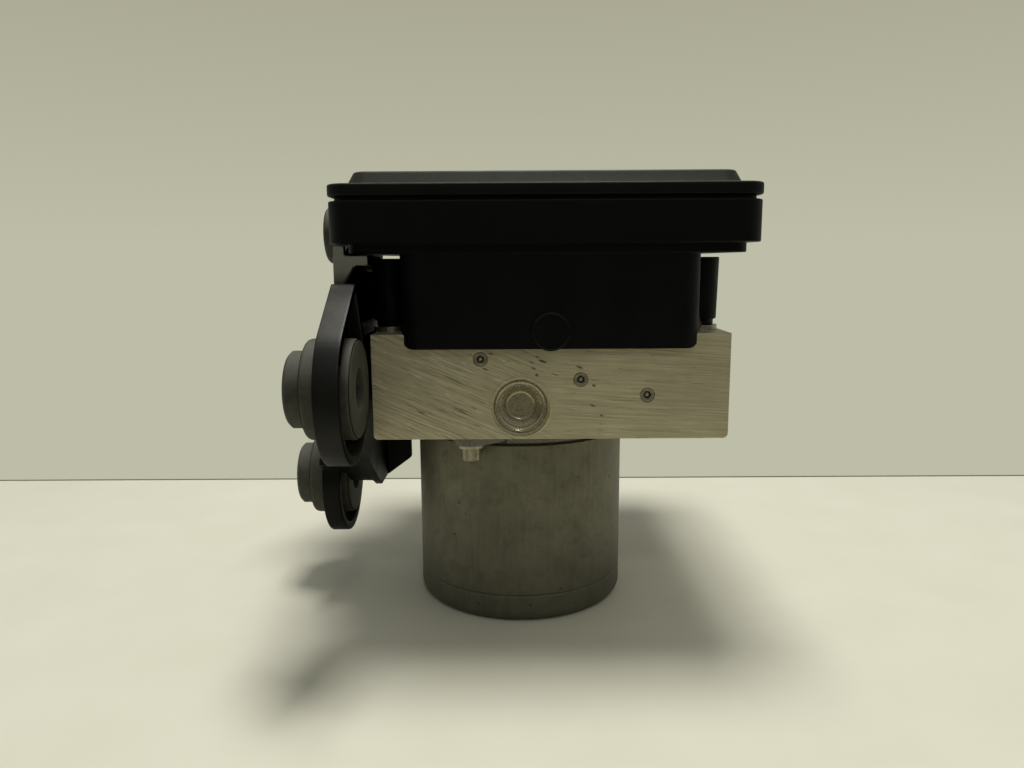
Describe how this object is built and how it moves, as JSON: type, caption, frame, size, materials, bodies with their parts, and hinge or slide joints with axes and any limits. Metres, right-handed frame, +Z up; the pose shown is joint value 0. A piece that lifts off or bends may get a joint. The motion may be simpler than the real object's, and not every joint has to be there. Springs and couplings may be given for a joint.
{
  "type": "abs brake module",
  "caption": "Anti-lock brake hydraulic unit: pump motor under an aluminium valve block, plastic control unit on top, and a pressed bracket with rubber mounts at its side.",
  "frame": {"origin": "the pump motor's axis at the flat end that the module stands on", "axes": "+Z up the motor's axis through the valve block to the control unit; +Y towards the cable connector, at the back; +X towards the wheel ports, away from the bracket"},
  "size_m": [0.1388, 0.1588, 0.1351],
  "materials": {
    "cast_aluminium": "milled",
    "die_cast": "as cast",
    "zinc_steel": "zinc-nickel plated, dull",
    "fastener_steel": "zinc plated",
    "bright_steel": "turned or ground",
    "black_coated_steel": "matte dip coating",
    "housing_plastic": "fine-grained moulding",
    "mount_rubber": "moulded, slightly dusty",
    "seal_rubber": "moulded",
    "board_laminate": "solder mask",
    "copper": "enamelled wire",
    "ferrite": "sintered",
    "coil_plastic": "overmoulded winding",
    "pin_metal": "tin plated",
    "carbon": "pressed carbon"
  },
  "bodies": {
    "module": {"valve_block": "cast_aluminium", "expander_plugs": "bright_steel", "pump_plug_front": "bright_steel", "pump_plug_rear": "bright_steel", "pump_spring_front": "bright_steel", "pump_spring_rear": "bright_steel", "accumulator_spring_front": "bright_steel", "accumulator_spring_rear": "bright_steel", "accumulator_caps": "bright_steel", "valve_cartridges": "bright_steel", "solenoid_coils": "coil_plastic", "pressure_sensor": "bright_steel", "ecu_housing": "housing_plastic", "ecu_cover": "housing_plastic", "housing_seal": "seal_rubber", "circuit_board": "board_laminate", "connector_pins": "pin_metal", "contact_post": "housing_plastic", "tower_inserts": "fastener_steel", "ecu_screws": "fastener_steel", "motor_can": "zinc_steel", "motor_flange": "die_cast", "motor_bearings": "bright_steel", "motor_magnets": "ferrite", "brush_plate": "coil_plastic", "motor_brushes": "carbon", "motor_bolts": "fastener_steel", "bracket": "black_coated_steel", "bracket_bolts": "fastener_steel", "grommet_middle": "mount_rubber", "grommet_lower": "mount_rubber", "grommet_upper": "mount_rubber"},
    "rotor": {"motor_shaft": "bright_steel", "armature_core": "bright_steel", "armature_windings": "copper", "commutator": "copper", "eccentric_ring": "bright_steel"},
    "pump_piston_front": {"pump_piston_front": "bright_steel"},
    "pump_piston_rear": {"pump_piston_rear": "bright_steel"},
    "accumulator_piston_front": {"accumulator_piston_front": "die_cast"},
    "accumulator_piston_rear": {"accumulator_piston_rear": "die_cast"}
  },
  "joints": [
    {"name": "motor_spin", "type": "hinge", "parent": "module", "child": "rotor", "pos_m": [0, 0, 0.03], "axis": [0, 0, 1], "continuous": true},
    {"name": "pump_piston_front_slide", "type": "slide", "parent": "module", "child": "pump_piston_front", "axis": [0, 1, 0], "range_m": [-0.0009, 0.0009], "stiffness_N_per_m": 3000, "deforming": ["pump_spring_front"]},
    {"name": "pump_piston_rear_slide", "type": "slide", "parent": "module", "child": "pump_piston_rear", "axis": [0, 1, 0], "range_m": [-0.0009, 0.0009], "stiffness_N_per_m": 3000, "deforming": ["pump_spring_rear"]},
    {"name": "accumulator_piston_front_slide", "type": "slide", "parent": "module", "child": "accumulator_piston_front", "axis": [-1, 0, 0], "range_m": [0, 0.008], "stiffness_N_per_m": 1500, "springref_m": -0.004, "deforming": ["accumulator_spring_front"]},
    {"name": "accumulator_piston_rear_slide", "type": "slide", "parent": "module", "child": "accumulator_piston_rear", "axis": [-1, 0, 0], "range_m": [0, 0.008], "stiffness_N_per_m": 1500, "springref_m": -0.004, "deforming": ["accumulator_spring_rear"]}
  ],
  "couplings": [
    {"joint": "pump_piston_rear_slide", "follows": "pump_piston_front_slide", "ratio": 1}
  ]
}
